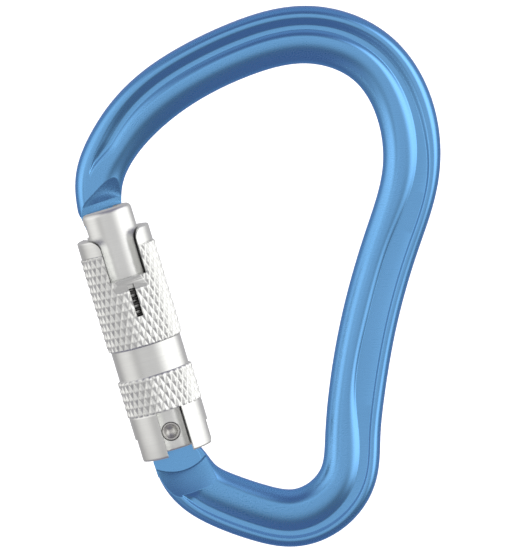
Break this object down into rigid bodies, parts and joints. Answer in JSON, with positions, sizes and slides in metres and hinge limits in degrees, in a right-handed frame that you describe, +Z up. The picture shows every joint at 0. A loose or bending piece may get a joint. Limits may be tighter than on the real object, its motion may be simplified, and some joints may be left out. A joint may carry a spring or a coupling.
{
  "type": "locking carabiner",
  "caption": "Pear-shaped forged carabiner with a sprung gate and a knurled sleeve that lifts and twists to unlock.",
  "frame": {"origin": "the seat on the inside of the wide top bow, in the middle plane, where a rope or sling bears", "axes": "+Z up along the load line, away from the hinge end; +X from the gate towards the spine; -Y is the front face"},
  "size_m": [0.0766, 0.0162, 0.1139],
  "materials": {
    "anodised_body": "glossy blue anodising",
    "satin_aluminium": "satin, clear anodised, knurled grip",
    "stainless_steel": "turned",
    "spring_steel": "drawn wire"
  },
  "bodies": {
    "frame": {"body": "anodised_body"},
    "gate": {"gate_barrel": "satin_aluminium", "hinge_rivet": "stainless_steel", "guide_pin": "stainless_steel", "spring_stop_ring": "spring_steel", "gate_spring": "spring_steel", "sleeve_spring": "spring_steel"},
    "plunger": {"gate_plunger": "stainless_steel"},
    "washer": {"lift_washer": "stainless_steel"},
    "sleeve": {"lock_sleeve": "satin_aluminium"}
  },
  "joints": [
    {"name": "gate_swing", "type": "hinge", "parent": "frame", "child": "gate", "pos_m": [-0.02875, 0, -0.0769], "axis": [0, 1, 0], "range_deg": [0, 40], "stiffness_Nm_per_rad": 0.25, "springref_deg": -68.75},
    {"name": "plunger_slide", "type": "slide", "parent": "gate", "child": "plunger", "axis": [-0.2857, 0, 0.9583], "range_m": [0, 0.0012], "deforming": ["gate_spring"]},
    {"name": "sleeve_lift", "type": "slide", "parent": "gate", "child": "washer", "axis": [-0.2857, 0, 0.9583], "range_m": [0, 0.0025], "stiffness_N_per_m": 800, "springref_m": -0.005, "deforming": ["sleeve_spring"]},
    {"name": "sleeve_twist", "type": "hinge", "parent": "washer", "child": "sleeve", "pos_m": [-0.02875, 0, -0.0769], "axis": [-0.2857, 0, 0.9583], "range_deg": [0, 83], "stiffness_Nm_per_rad": 0.02, "springref_deg": -57.3}
  ],
  "couplings": [
    {"joint": "plunger_slide", "follows": "gate_swing", "m_per_rad": 0.0015}
  ]
}
